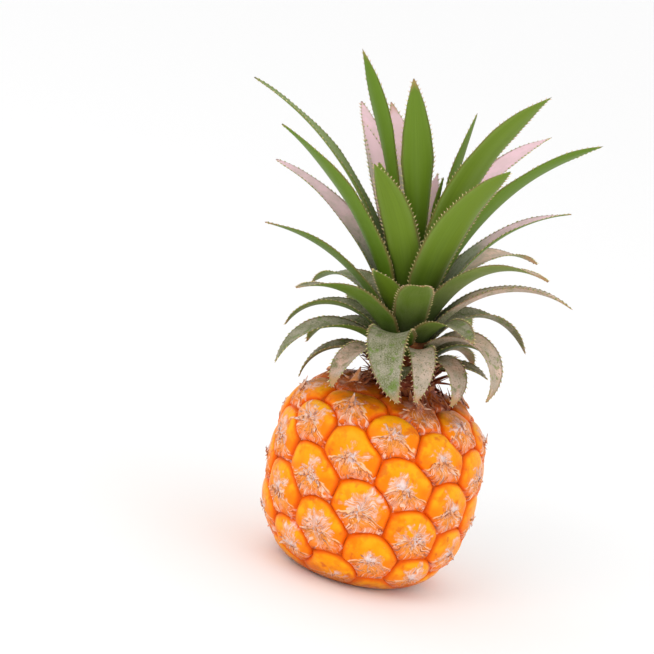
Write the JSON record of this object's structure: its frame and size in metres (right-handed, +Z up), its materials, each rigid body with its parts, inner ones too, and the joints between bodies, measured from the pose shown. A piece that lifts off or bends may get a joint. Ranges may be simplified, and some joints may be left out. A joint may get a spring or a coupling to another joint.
{
  "type": "pineapple",
  "caption": "Small fresh pineapple: plump orange body covered in spiral raised eyes with dry bract points, topped by a leaning crown of spiny, arching green leaves.",
  "frame": {"origin": "centre of the flat spot under the fruit, where its axis meets the table", "axes": "+Z up the axis of the fruit, -Y towards the viewer of the picture, +X to the viewer's right"},
  "size_m": [0.1508, 0.1248, 0.219],
  "materials": {
    "fruit_skin": "satin",
    "leaf_inner": "satin",
    "leaf_outer": "matte",
    "leaf_neck": "matte"
  },
  "bodies": {
    "root": {"fruit": "fruit_skin", "leaf_01": "leaf_inner", "leaf_02": "leaf_inner", "leaf_03": "leaf_inner", "leaf_04": "leaf_inner", "leaf_05": "leaf_inner", "leaf_06": "leaf_inner", "leaf_07": "leaf_inner", "leaf_08": "leaf_inner", "leaf_09": "leaf_inner", "leaf_10": "leaf_inner", "leaf_11": "leaf_inner", "leaf_12": "leaf_inner", "leaf_13": "leaf_inner", "leaf_14": "leaf_inner", "leaf_15": "leaf_inner", "leaf_16": "leaf_inner", "leaf_17": "leaf_inner", "leaf_18": "leaf_inner", "leaf_19": "leaf_inner", "leaf_20": "leaf_inner", "leaf_21": "leaf_outer", "leaf_22": "leaf_outer", "leaf_23": "leaf_outer", "leaf_24": "leaf_outer", "leaf_25": "leaf_outer", "leaf_26": "leaf_outer", "leaf_27": "leaf_outer", "leaf_28": "leaf_outer", "leaf_29": "leaf_outer", "leaf_30": "leaf_outer", "leaf_31": "leaf_outer", "leaf_32": "leaf_outer", "leaf_33": "leaf_outer", "leaf_34": "leaf_outer", "leaf_35": "leaf_outer", "leaf_36": "leaf_outer", "leaf_37": "leaf_outer", "leaf_38": "leaf_outer", "leaf_39": "leaf_outer", "leaf_40": "leaf_outer", "leaf_41": "leaf_neck", "leaf_42": "leaf_neck", "leaf_43": "leaf_neck", "leaf_44": "leaf_neck", "leaf_45": "leaf_neck", "leaf_46": "leaf_neck", "leaf_47": "leaf_neck", "leaf_48": "leaf_neck"}
  },
  "joints": []
}
